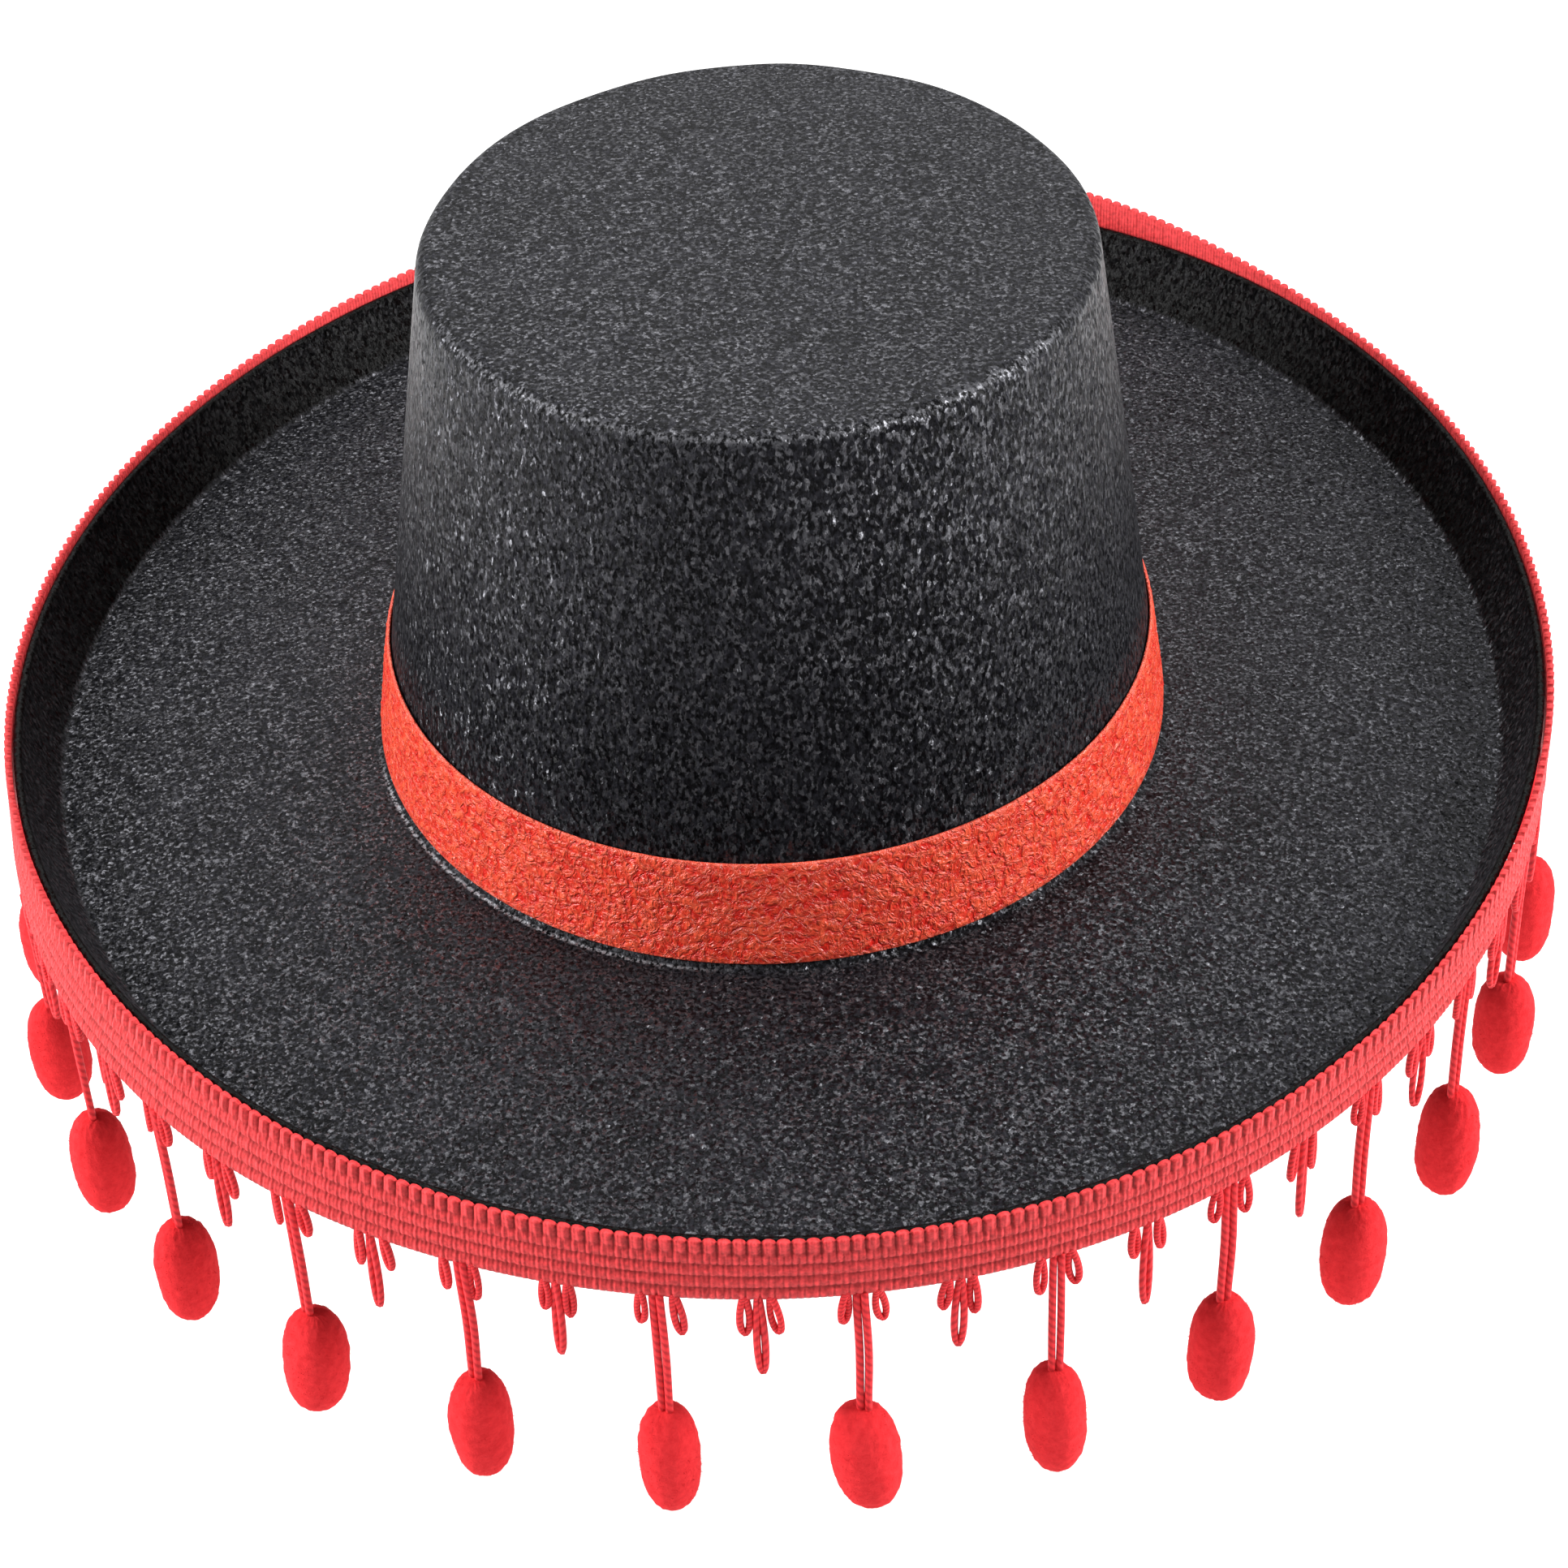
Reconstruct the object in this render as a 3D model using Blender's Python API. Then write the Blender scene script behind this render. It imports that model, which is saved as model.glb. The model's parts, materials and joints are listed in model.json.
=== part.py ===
"""Sombrero: a black pressed-felt hat with a flat, tapering crown and a wide oval brim whose rim
turns up, a red ribbon round the crown, a sweatband inside it, and a red braid with a ball fringe.

Metres, +Z up, the wearer faces -Y.  The origin is the centre of the head opening, at the height of
the brim where it meets the crown.  Every ring of every piece has its points at the same angles, so
pieces that lie on each other keep their gap all the way round.
"""
from math import cos, exp, pi, radians, sin

import bmesh
import bpy
from mathutils import Vector

# ---- driving dimensions, metres ----
CROWN_BASE = (0.0990, 0.1065)      # half width and half length of the felt where it meets the brim
CROWN_TOP = (0.0793, 0.0888)       # the same at the top, as if its edge were sharp
CROWN_LEAN = 0.0021                # the top sits this far to the wearer's left of the foot
CROWN_HEIGHT = 0.1335
CROWN_EDGE_RADIUS = 0.0035
CROWN_DOME = 0.0012                # how much the middle of the top stands above its edge
CROWN_FLAT_SHARE = 0.35            # the middle of the top is flat, over this much of its width
FELT = 0.0020                      # thickness of the pressed felt
BRIM_FILLET = 0.0025               # bend between crown and brim

RIM_CENTRE = (0.0014, 0.0123)      # the brim is longer behind the head than in front
RIM_HALF = (0.1915, 0.2130)        # half width and half length at the rim's edge
RIM_LEAN = 0.0074                  # how far the rim's edge lies outside the crease
RIM_RISE = 0.0175                  # height of the turned-up rim above the crease
RIM_EDGE_HEIGHT = 0.0141           # mean height of the edge above the crown's base
RIM_WAVE_1 = (0.0030, 0.0044)      # cosine and sine parts of the edge's one-wave tilt
RIM_WAVE_2 = (0.0009, 0.0025)      # and of its two-wave warp

RIBBON_HEIGHT = 0.0262
RIBBON_FOOT = 0.0020               # height of the ribbon's lower edge above the brim
RIBBON_THICKNESS = 0.0008
SWEATBAND_HEIGHT = 0.0300
SWEATBAND_THICKNESS = 0.0010

BRAID_HEIGHT = 0.0170
BRAID_THICKNESS = 0.0016
BRAID_ABOVE_FELT = 0.0020          # how far the braid stands above the felt's edge in front
BRAID_RAISED_BEHIND = 0.0040       # how much more it stands up behind
BRAID_CURL = 0.0060                # and more again in one curl, right of the back
BRAID_CURL_AT = radians(63)
BRAID_CURL_SPREAD = radians(18)
BRAID_FLARE = 0.0050                # its lower edge stands out this far at the wearer's front right
BRAID_FLARE_AT = radians(224)
BRAID_FLARE_SPREAD = radians(28)

POMPOM_COUNT = 30
POMPOM_START = radians(188.6)      # direction of the first station, at the wearer's right
POMPOM_HALF_WIDTH = 0.0076
POMPOM_HALF_HEIGHT = 0.0160
CORD_LENGTH = 0.0350               # from the braid down to the pompom
CORD_HALF_WIDTH = 0.0018           # two strands side by side, along the brim
CORD_HALF_DEPTH = 0.0009
CORD_END_TAPER = 0.6               # the cord's ends are this much of its full thickness
CORD_PIVOT_DROP = 0.0016           # the cord bends this far below the braid

GAP = 0.0003                       # clearance between pieces that touch
SEGMENTS = 72                      # points round every ring
ARC_STEPS = 720                    # steps for measuring along the rim


# ---- the hat's own curves ----
def angles():
    return [2 * pi * i / SEGMENTS for i in range(SEGMENTS)]


def edge_height(angle):
    """Height of the rim's edge: a mean, one wave of tilt and two waves of warp."""
    tilt = RIM_WAVE_1[0] * cos(angle) + RIM_WAVE_1[1] * sin(angle)
    warp = RIM_WAVE_2[0] * cos(2 * angle) + RIM_WAVE_2[1] * sin(2 * angle)
    return RIM_EDGE_HEIGHT + tilt + warp


def braid_top(angle):
    """Height of the braid's upper edge: above the felt, higher behind, with one curl."""
    behind = max(0.0, sin(angle)) ** 4 * BRAID_RAISED_BEHIND
    curl = exp(-((angle - BRAID_CURL_AT) / BRAID_CURL_SPREAD) ** 2) * BRAID_CURL
    return edge_height(angle) + BRAID_ABOVE_FELT + behind + curl


def braid_flare(angle):
    """How far the braid's lower edge stands out past its upper edge."""
    away = (angle - BRAID_FLARE_AT + pi) % (2 * pi) - pi
    return exp(-(away / BRAID_FLARE_SPREAD) ** 2) * BRAID_FLARE


def rim_point(angle, outside, height):
    """A point at a distance outside the rim's edge ellipse, at a height."""
    x = RIM_CENTRE[0] + (RIM_HALF[0] + outside) * cos(angle)
    y = RIM_CENTRE[1] + (RIM_HALF[1] + outside) * sin(angle)
    return Vector((x, y, height))


def crown_point(angle, height, outside=0.0):
    """A point on the crown's straight side, or a distance outside it."""
    share = height / CROWN_HEIGHT
    half = [CROWN_BASE[k] + (CROWN_TOP[k] - CROWN_BASE[k]) * share + outside for k in (0, 1)]
    return Vector((CROWN_LEAN * share + half[0] * cos(angle), half[1] * sin(angle), height))


def mix(first, second, share):
    return first + (second - first) * share


# ---- mesh helpers ----
def material(name, colour, roughness):
    made = bpy.data.materials.new(name)
    made.use_nodes = True
    shader = made.node_tree.nodes["Principled BSDF"]
    shader.inputs["Base Color"].default_value = (*colour, 1.0)
    shader.inputs["Roughness"].default_value = roughness
    shader.inputs["Metallic"].default_value = 0.0
    return made


def add_object(name, bm, finish):
    bmesh.ops.recalc_face_normals(bm, faces=bm.faces)
    mesh = bpy.data.meshes.new(name)
    bm.to_mesh(mesh)
    bm.free()
    mesh.shade_smooth()
    mesh.set_sharp_from_angle(angle=radians(35))
    mesh.materials.append(finish)
    made = bpy.data.objects.new(name, mesh)
    bpy.context.scene.collection.objects.link(made)
    return made


def add_ring(bm, points):
    return [bm.verts.new(point) for point in points]


def bridge(bm, lower, upper):
    """Quads between two rings with the same number of points."""
    count = len(lower)
    for i in range(count):
        j = (i + 1) % count
        bm.faces.new((lower[i], lower[j], upper[j], upper[i]))


def fan(bm, ring, centre):
    tip = bm.verts.new(centre)
    for i in range(len(ring)):
        bm.faces.new((ring[i], ring[(i + 1) % len(ring)], tip))


def closed_band(bm, corner_rings):
    """A ring-shaped body from its cross-section's corners, each given as one ring of points."""
    rings = [add_ring(bm, points) for points in corner_rings]
    for k, ring in enumerate(rings):
        bridge(bm, ring, rings[(k + 1) % len(rings)])


# ---- felt: crown, brim and rim, pressed in one piece ----
def crown_rings():
    """Rings from the middle of the top, round its edge and down to the foot of the side."""
    rings = []
    inner = [1.0 - CROWN_EDGE_RADIUS / CROWN_TOP[k] for k in (0, 1)]
    for share in (CROWN_FLAT_SHARE, 0.7, 1.0):
        half = [CROWN_TOP[k] * inner[k] * share for k in (0, 1)]
        fall = (share - CROWN_FLAT_SHARE) / (1 - CROWN_FLAT_SHARE)
        height = CROWN_HEIGHT + CROWN_DOME * (1 - fall ** 2)
        rings.append([Vector((CROWN_LEAN + half[0] * cos(a), half[1] * sin(a), height))
                      for a in angles()])
    for turn in (radians(30), radians(60)):
        inset = -CROWN_EDGE_RADIUS * (1 - sin(turn))
        drop = CROWN_EDGE_RADIUS * (1 - cos(turn))
        rings.append([crown_point(a, CROWN_HEIGHT - drop, inset) for a in angles()])
    for height in (CROWN_HEIGHT - CROWN_EDGE_RADIUS, CROWN_HEIGHT / 2, RIBBON_HEIGHT, BRIM_FILLET):
        rings.append([crown_point(a, height) for a in angles()])
    return rings


def brim_rings():
    """Rings from the bend at the crown's foot, over the brim to the crease, and up the rim."""
    rings = []
    for turn in (radians(30), radians(60), radians(90)):
        outside = BRIM_FILLET * (1 - cos(turn))
        rings.append([crown_point(a, BRIM_FILLET * (1 - sin(turn)), outside) for a in angles()])
    foot = rings[-1]
    crease = [rim_point(a, -RIM_LEAN, edge_height(a) - RIM_RISE) for a in angles()]
    for share in (0.25, 0.5, 0.75, 1.0):
        ring = []
        for start, end in zip(foot, crease):
            point = mix(start, end, share)
            point.z = end.z * share ** 1.5
            ring.append(point)
        rings.append(ring)
    for share in (0.3, 0.65, 1.0):
        # a curve that leaves the crease at about 60 degrees and ends a little steeper
        lean = -RIM_LEAN * (1 - share) ** 2 - 0.4 * RIM_LEAN * share * (1 - share)
        rise = 1.2 * RIM_RISE * share * (1 - share) + RIM_RISE * share ** 2
        rings.append([rim_point(a, lean, edge_height(a) - RIM_RISE + rise) for a in angles()])
    return rings


def make_felt(finish):
    bm = bmesh.new()
    rings = [add_ring(bm, points) for points in crown_rings() + brim_rings()]
    fan(bm, rings[0], (CROWN_LEAN, 0, CROWN_HEIGHT + CROWN_DOME))
    for inner, outer in zip(rings, rings[1:]):
        bridge(bm, inner, outer)
    felt = add_object("felt_body", bm, finish)
    if felt.data.polygons[0].normal.z < 0:
        felt.data.flip_normals()
    wall = felt.modifiers.new("felt thickness", "SOLIDIFY")
    wall.thickness = FELT
    wall.offset = -1.0
    wall.use_even_offset = True
    return felt


# ---- ribbon and sweatband ----
def make_band(name, finish, foot, top, near, far):
    """A band on the crown's side, between two distances outside that side."""
    bm = bmesh.new()
    corners = ((foot, near), (foot, far), (top, far), (top, near))
    closed_band(bm, [[crown_point(a, z, outside) for a in angles()] for z, outside in corners])
    return add_object(name, bm, finish)


def make_ribbon(finish):
    near = GAP + 0.0001
    return make_band("hat_band", finish, RIBBON_FOOT, RIBBON_FOOT + RIBBON_HEIGHT,
                     near, near + RIBBON_THICKNESS)


def make_sweatband(finish):
    near = -FELT - 2 * GAP
    return make_band("sweatband", finish, BRIM_FILLET, BRIM_FILLET + SWEATBAND_HEIGHT,
                     near - SWEATBAND_THICKNESS, near)


# ---- braid ----
def braid_inside():
    return FELT + GAP


def braid_middle():
    return braid_inside() + BRAID_THICKNESS / 2


def make_braid(finish):
    bm = bmesh.new()
    near = braid_inside()
    far = near + BRAID_THICKNESS
    corners = ((1.0, near), (1.0, far), (0.0, far), (0.0, near))
    closed_band(bm, [[rim_point(a, outside + braid_flare(a) * share,
                                braid_top(a) - BRAID_HEIGHT * share)
                      for a in angles()] for share, outside in corners])
    return add_object("braid", bm, finish)


def stations():
    """Angles of the pompoms, evenly spaced along the braid."""
    walk = [POMPOM_START + 2 * pi * i / ARC_STEPS for i in range(ARC_STEPS + 1)]
    points = [rim_point(a, braid_middle(), 0) for a in walk]
    run = [0.0]
    for first, second in zip(points, points[1:]):
        run.append(run[-1] + (second - first).length)
    found = []
    for k in range(POMPOM_COUNT):
        target = run[-1] * k / POMPOM_COUNT
        i = next(i for i in range(ARC_STEPS) if run[i + 1] > target)
        share = (target - run[i]) / (run[i + 1] - run[i])
        found.append((walk[i] + (walk[i + 1] - walk[i]) * share) % (2 * pi))
    return found


def station_frame(angle):
    """Point on the braid's lower edge, with the directions along the brim and outward."""
    outside = braid_middle() + braid_flare(angle)
    foot = rim_point(angle, outside, braid_top(angle) - BRAID_HEIGHT)
    along = Vector((-(RIM_HALF[0] + braid_middle()) * sin(angle),
                    (RIM_HALF[1] + braid_middle()) * cos(angle), 0)).normalized()
    return foot, along, along.cross(Vector((0, 0, 1)))


# ---- pompoms on their cords ----
def make_pompom(number, angle, finish):
    """A two-strand cord that ends in an oval pompom, hanging straight down as one piece.

    The object's origin is its joint: the point where the cord bends below the braid.
    """
    foot, along, outward = station_frame(angle)
    pivot = foot - Vector((0, 0, CORD_PIVOT_DROP))
    sides = 10
    middle = CORD_PIVOT_DROP - CORD_LENGTH - POMPOM_HALF_HEIGHT
    cord_top = CORD_PIVOT_DROP - 2 * GAP
    cord_foot = CORD_PIVOT_DROP - CORD_LENGTH
    sections = [(cord_top, CORD_HALF_WIDTH * CORD_END_TAPER, CORD_HALF_DEPTH * CORD_END_TAPER),
                (cord_top - CORD_PIVOT_DROP, CORD_HALF_WIDTH, CORD_HALF_DEPTH),
                (cord_foot, CORD_HALF_WIDTH, CORD_HALF_DEPTH)]
    for turn in (radians(28), radians(55), radians(90), radians(125), radians(152)):
        half = POMPOM_HALF_WIDTH * sin(turn)
        sections.append((middle + POMPOM_HALF_HEIGHT * cos(turn), half, half))
    bm = bmesh.new()
    rings = []
    for height, half_along, half_out in sections:
        ring = []
        for i in range(sides):
            turn = 2 * pi * i / sides
            ring.append(along * (half_along * cos(turn)) + outward * (half_out * sin(turn))
                        + Vector((0, 0, height)))
        rings.append(add_ring(bm, ring))
    bm.faces.new(rings[0])
    for upper, lower in zip(rings, rings[1:]):
        bridge(bm, upper, lower)
    fan(bm, rings[-1], (0, 0, middle - POMPOM_HALF_HEIGHT))
    pompom = add_object(f"pompom_{number:02d}", bm, finish)
    pompom.location = pivot
    return pompom


def main():
    for old in list(bpy.data.objects):
        bpy.data.objects.remove(old, do_unlink=True)
    felt = material("black felt", (0.020, 0.021, 0.024), 0.9)
    satin = material("red ribbon", (0.68, 0.05, 0.03), 0.45)
    tape = material("sweatband tape", (0.03, 0.03, 0.032), 0.85)
    gimp = material("red braid", (0.72, 0.02, 0.03), 0.7)
    yarn = material("red yarn", (0.74, 0.015, 0.02), 0.95)
    make_felt(felt)
    make_ribbon(satin)
    make_sweatband(tape)
    make_braid(gimp)
    for number, angle in enumerate(stations(), 1):
        make_pompom(number, angle, yarn)


main()
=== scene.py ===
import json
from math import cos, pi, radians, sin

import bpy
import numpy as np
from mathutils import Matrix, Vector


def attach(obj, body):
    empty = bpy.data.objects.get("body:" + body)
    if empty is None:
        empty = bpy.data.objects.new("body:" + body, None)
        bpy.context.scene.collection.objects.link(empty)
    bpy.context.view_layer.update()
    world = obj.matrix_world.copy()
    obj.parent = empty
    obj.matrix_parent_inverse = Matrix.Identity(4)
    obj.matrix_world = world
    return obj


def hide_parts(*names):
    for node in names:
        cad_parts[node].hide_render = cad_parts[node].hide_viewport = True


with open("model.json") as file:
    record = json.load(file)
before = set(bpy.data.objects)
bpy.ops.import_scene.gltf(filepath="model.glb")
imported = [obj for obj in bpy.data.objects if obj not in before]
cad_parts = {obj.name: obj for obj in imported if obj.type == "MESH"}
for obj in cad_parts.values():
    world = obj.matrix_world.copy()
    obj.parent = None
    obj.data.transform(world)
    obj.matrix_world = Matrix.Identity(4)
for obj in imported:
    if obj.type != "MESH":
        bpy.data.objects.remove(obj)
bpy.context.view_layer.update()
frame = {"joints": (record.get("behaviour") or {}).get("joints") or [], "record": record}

# Sombrero: the looks of a black pressed-felt hat with a red ribbon and a red ball fringe.
# Metres, +Z up, the wearer faces -Y, the origin is the centre of the head opening at brim height.
#
# Every large piece is one surface on a grid: the columns run round the hat by angle, and the rows
# run along a cross-section.  The felt is made first, the ribbon and sweatband lie on its crown, and
# the braid follows its edge.  Each pompom hangs from the joint that the frame gives it.

# ---- the frame's driving dimensions, metres ----
CROWN_BASE = np.array((0.0990, 0.1065))
CROWN_TOP = np.array((0.0793, 0.0888))
CROWN_LEAN = 0.0021
CROWN_HEIGHT = 0.1335
CROWN_EDGE_RADIUS = 0.0035
CROWN_DOME = 0.0012
CROWN_FLAT_SHARE = 0.35
FELT = 0.0020
BRIM_FILLET = 0.0025
RIM_CENTRE = (0.0014, 0.0123)
RIM_HALF = (0.1915, 0.2130)
RIM_LEAN = 0.0074
RIM_RISE = 0.0175
RIM_EDGE_HEIGHT = 0.0141
RIM_WAVE_1 = (0.0030, 0.0044)
RIM_WAVE_2 = (0.0009, 0.0025)
RIBBON_FOOT = 0.0020
RIBBON_HEIGHT = 0.0262
SWEATBAND_HEIGHT = 0.0300
BRAID_HEIGHT = 0.0170
BRAID_THICKNESS = 0.0016
BRAID_ABOVE_FELT = 0.0020
BRAID_RAISED_BEHIND = 0.0040
BRAID_CURL = 0.0060
BRAID_CURL_AT = radians(63)
BRAID_CURL_SPREAD = radians(18)
BRAID_FLARE = 0.0050
BRAID_FLARE_AT = radians(224)
BRAID_FLARE_SPREAD = radians(28)
CORD_LENGTH = 0.0350
CORD_PIVOT_DROP = 0.0016
POMPOM_HALF_WIDTH = 0.0076
POMPOM_HALF_HEIGHT = 0.0160
GAP = 0.0003

# ---- what only the looks need ----
PICOT_PITCH = 0.0031
PICOT_DEPTH = 0.0011
BRAID_ROWS = 4                 # cords that run along the braid, below its teeth
TEETH_SHARE = 0.22             # the teeth take this much of the braid's height
LOOP_CORD = 0.00165            # diameter of the cord in the hanging loops
LOOP_SHORT = 0.0105
LOOP_LONG = 0.0220
LOOP_WIDTH = 0.0023
LOOP_TO_CORD = 0.0034          # from a pompom's cord to the short loop on each side of it
LOOP_TO_LOOP = 0.0030          # between the three loops half way between two pompoms
STRAND = 0.00180               # diameter of each strand that carries a pompom
CORD_IN_BRAID = 0.0006         # how far a pompom's cord goes on into the braid and the ball
CORD_IN_BALL = 0.0020
FELT_COLUMNS = 360
FELT_WOBBLE = 0.00022
FELT_PULL = 0.60               # the nap's scale upwards, against its scale across
RIBBON_COLUMNS = 1200
RIBBON_THICKNESS = 0.0008
RIBBON_CRINKLE = 0.00013
LAP_RISE = 0.0005              # the ribbon's lapped end, behind
LAP_AT = radians(96)
LAP_HALF = radians(9)
SWEATBAND_THICKNESS = 0.0010
TAPE_COLUMNS = 720
TAPE_RIBS = 700
FUZZ_ENDS = 900                # loose ends of yarn on each pompom, before its top is left free
FUZZ_RADIUS = 0.00006
STITCHES = 180
STITCH_SHARE = 0.62            # of the way from one stitch to the next
STITCH_HEIGHT = 0.0030         # above the tape's lower edge
THREAD_RADIUS = 0.00022


# ---- the hat's own curves, on arrays of angles ----
def edge_height(angle):
    """Height of the rim's edge: a mean, one wave of tilt and two waves of warp."""
    tilt = RIM_WAVE_1[0] * np.cos(angle) + RIM_WAVE_1[1] * np.sin(angle)
    warp = RIM_WAVE_2[0] * np.cos(2 * angle) + RIM_WAVE_2[1] * np.sin(2 * angle)
    return RIM_EDGE_HEIGHT + tilt + warp


def braid_top(angle):
    """Height of the braid's upper edge: above the felt, higher behind, with one curl."""
    angle = np.mod(angle, 2 * pi)
    behind = np.maximum(0.0, np.sin(angle)) ** 4 * BRAID_RAISED_BEHIND
    curl = np.exp(-((angle - BRAID_CURL_AT) / BRAID_CURL_SPREAD) ** 2) * BRAID_CURL
    return edge_height(angle) + BRAID_ABOVE_FELT + behind + curl


def braid_flare(angle):
    """How far the braid's lower edge stands out past its upper edge."""
    away = np.mod(angle - BRAID_FLARE_AT + pi, 2 * pi) - pi
    return np.exp(-(away / BRAID_FLARE_SPREAD) ** 2) * BRAID_FLARE


def rim_points(angle, outside, height):
    """Points at a distance outside the rim's edge ellipse, at a height."""
    x = RIM_CENTRE[0] + (RIM_HALF[0] + outside) * np.cos(angle)
    y = RIM_CENTRE[1] + (RIM_HALF[1] + outside) * np.sin(angle)
    return np.stack(np.broadcast_arrays(x, y, height), axis=-1)


def crown_points(angle, height, outside=0.0):
    """Points on the crown's straight side, or a distance outside it."""
    share = np.asarray(height) / CROWN_HEIGHT
    x = (CROWN_BASE[0] + (CROWN_TOP[0] - CROWN_BASE[0]) * share + outside) * np.cos(angle)
    x = x + CROWN_LEAN * share
    y = (CROWN_BASE[1] + (CROWN_TOP[1] - CROWN_BASE[1]) * share + outside) * np.sin(angle)
    return np.stack(np.broadcast_arrays(x, y, height), axis=-1)


def round_angles(count):
    return np.arange(count) * 2 * pi / count


def even_angles(count, outside):
    """Angles of points evenly spaced along the rim, from its +X end, and the length round."""
    fine = np.linspace(0, 2 * pi, 4001)
    steps = np.linalg.norm(np.diff(rim_points(fine, outside, 0.0), axis=0), axis=1)
    run = np.concatenate(([0.0], np.cumsum(steps)))
    return np.interp(np.arange(count) * run[-1] / count, run, fine), run[-1]


def smooth_noise(rows, cols, low, high, seed):
    """A seamless random field, mostly from -1 to 1, of low to high waves per width of the grid."""
    field = np.fft.fft2(np.random.default_rng(seed).standard_normal((rows, cols)))
    across = np.fft.fftfreq(rows)[:, None] * cols
    along = np.fft.fftfreq(cols)[None, :] * cols
    waves = np.hypot(across, along)
    field[(waves < low) | (waves > high)] = 0
    field = np.fft.ifft2(field).real
    return field / (2 * field.std())


# ---- from grids to meshes ----
def grid_faces(rows, cols, wrap_rows):
    """Quads of a grid as (faces, 4) vertex numbers and (faces, 4, 2) texture coordinates."""
    tall = rows if wrap_rows else rows - 1
    r, c = np.meshgrid(np.arange(tall), np.arange(cols), indexing="ij")
    corners = [(r, c), (r, c + 1), (r + 1, c + 1), (r + 1, c)]
    quads = np.stack([(a % rows) * cols + b % cols for a, b in corners], -1).reshape(-1, 4)
    uv = np.stack([np.stack((b / cols, a / max(tall, 1)), -1) for a, b in corners], -2)
    return quads, uv.reshape(-1, 4, 2)


def pole_fans(shift, row, cols, tip, turned):
    """Triangles from one row of every grid to that grid's pole, and a ring's texture places.

    The grids' vertices start at each shift, their poles are numbered from tip on, and a fan at the
    first row is turned the other way round.
    """
    j = np.arange(cols)
    ring = np.stack((row * cols + j, row * cols + (j + 1) % cols), -1)
    around = np.stack((j / cols, (j + 1) / cols, (j + 0.5) / cols), -1)
    if turned:
        ring, around = ring[:, ::-1], around[:, [1, 0, 2]]
    count = len(shift)
    tips = np.broadcast_to(tip + np.arange(count)[:, None, None], (count, cols, 1))
    return np.concatenate((ring[None] + shift, tips), -1).reshape(-1, 3), around


def volume_under(verts, faces):
    """Six times the signed volume between the origin and faces of three or four corners."""
    a, b, c, d = (verts[faces[:, k]] for k in (0, 1, 2, -1))
    return np.einsum("ij,ij->", a, np.cross(b, c)) + np.einsum("ij,ij->", a, np.cross(c, d))


def mesh_of(name, grids, wrap_rows=False, start=None, end=None):
    """One mesh of many equal grids, (n, rows, cols, 3), each closed round its columns.

    start and end are (n, 3) poles that close the first and the last row.  Faces are turned outward
    by the sign of the volume.
    """
    grids = np.asarray(grids, float)
    count, rows, cols = grids.shape[:3]
    quads, quad_uv = grid_faces(rows, cols, wrap_rows)
    shift = (np.arange(count) * rows * cols)[:, None, None]
    quads = (quads[None] + shift).reshape(-1, 4)
    quad_uv = np.tile(quad_uv, (count, 1, 1))
    verts, tris, tri_uv = grids.reshape(-1, 3), np.zeros((0, 3), int), np.zeros((0, 3, 2))
    for pole, row, turned in ((start, 0, True), (end, rows - 1, False)):
        if pole is None:
            continue
        fans, around = pole_fans(shift, row, cols, len(verts), turned)
        uv = np.stack((around, np.full_like(around, row / max(rows - 1, 1))), -1)
        verts = np.concatenate((verts, np.asarray(pole, float).reshape(-1, 3)))
        tris = np.concatenate((tris, fans))
        tri_uv = np.concatenate((tri_uv, np.tile(uv, (count, 1, 1))))
    if volume_under(verts, quads) + volume_under(verts, tris) < 0:
        quads, quad_uv = quads[:, ::-1], quad_uv[:, ::-1]
        tris, tri_uv = tris[:, ::-1], tri_uv[:, ::-1]
    mesh = bpy.data.meshes.new(name)
    mesh.vertices.add(len(verts))
    mesh.vertices.foreach_set("co", verts.ravel())
    corners = np.concatenate((quads.ravel(), tris.ravel()))
    mesh.loops.add(len(corners))
    mesh.loops.foreach_set("vertex_index", corners.astype("i"))
    mesh.polygons.add(len(quads) + len(tris))
    starts = np.concatenate((np.arange(len(quads)) * 4, quads.size + np.arange(len(tris)) * 3))
    mesh.polygons.foreach_set("loop_start", starts.astype("i"))
    layer = mesh.uv_layers.new(name="UVMap")
    layer.uv.foreach_set("vector", np.concatenate((quad_uv.ravel(), tri_uv.ravel())))
    mesh.update(calc_edges=True)
    mesh.validate()
    mesh.shade_smooth()
    return mesh


def piece(name, mesh, finish, body, slot, *nodes):
    """Puts a mesh into the scene as a piece: its material, its body and its CAD nodes; slot is not
    used.
    """
    made = bpy.data.objects.new(name, mesh)
    bpy.context.scene.collection.objects.link(made)
    mesh.materials.append(finish)
    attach(made, body)
    if nodes:
        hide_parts(*nodes)
    return made


def tube_rings(path, across, out, radius, sides):
    """Rings round paths (n, points, 3): a circle in the plane of two directions at each point."""
    turn = round_angles(sides)
    spread = across[..., None, :] * (np.cos(turn)[:, None] * radius)
    spread = spread + out[..., None, :] * (np.sin(turn)[:, None] * radius)
    return path[..., None, :] + spread


# ---- materials ----
def new_material(name):
    made = bpy.data.materials.new(name)
    made.use_nodes = True
    return made, made.node_tree, made.node_tree.nodes["Principled BSDF"]


def feed(tree, socket, value):
    """Fills an input: a socket is linked to it, a number or a colour of three numbers is set."""
    if isinstance(value, bpy.types.NodeSocket):
        tree.links.new(value, socket)
    elif socket.type == "RGBA":
        socket.default_value = (*value, 1.0)
    else:
        socket.default_value = value


def add(tree, kind, **settings):
    """A node of that kind with its settings; keys that name an input fill that input."""
    node = tree.nodes.new(kind)
    for key, value in settings.items():
        if hasattr(node, key):
            setattr(node, key, value)
        else:
            feed(tree, node.inputs[key.replace("_", " ")], value)
    return node


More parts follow.
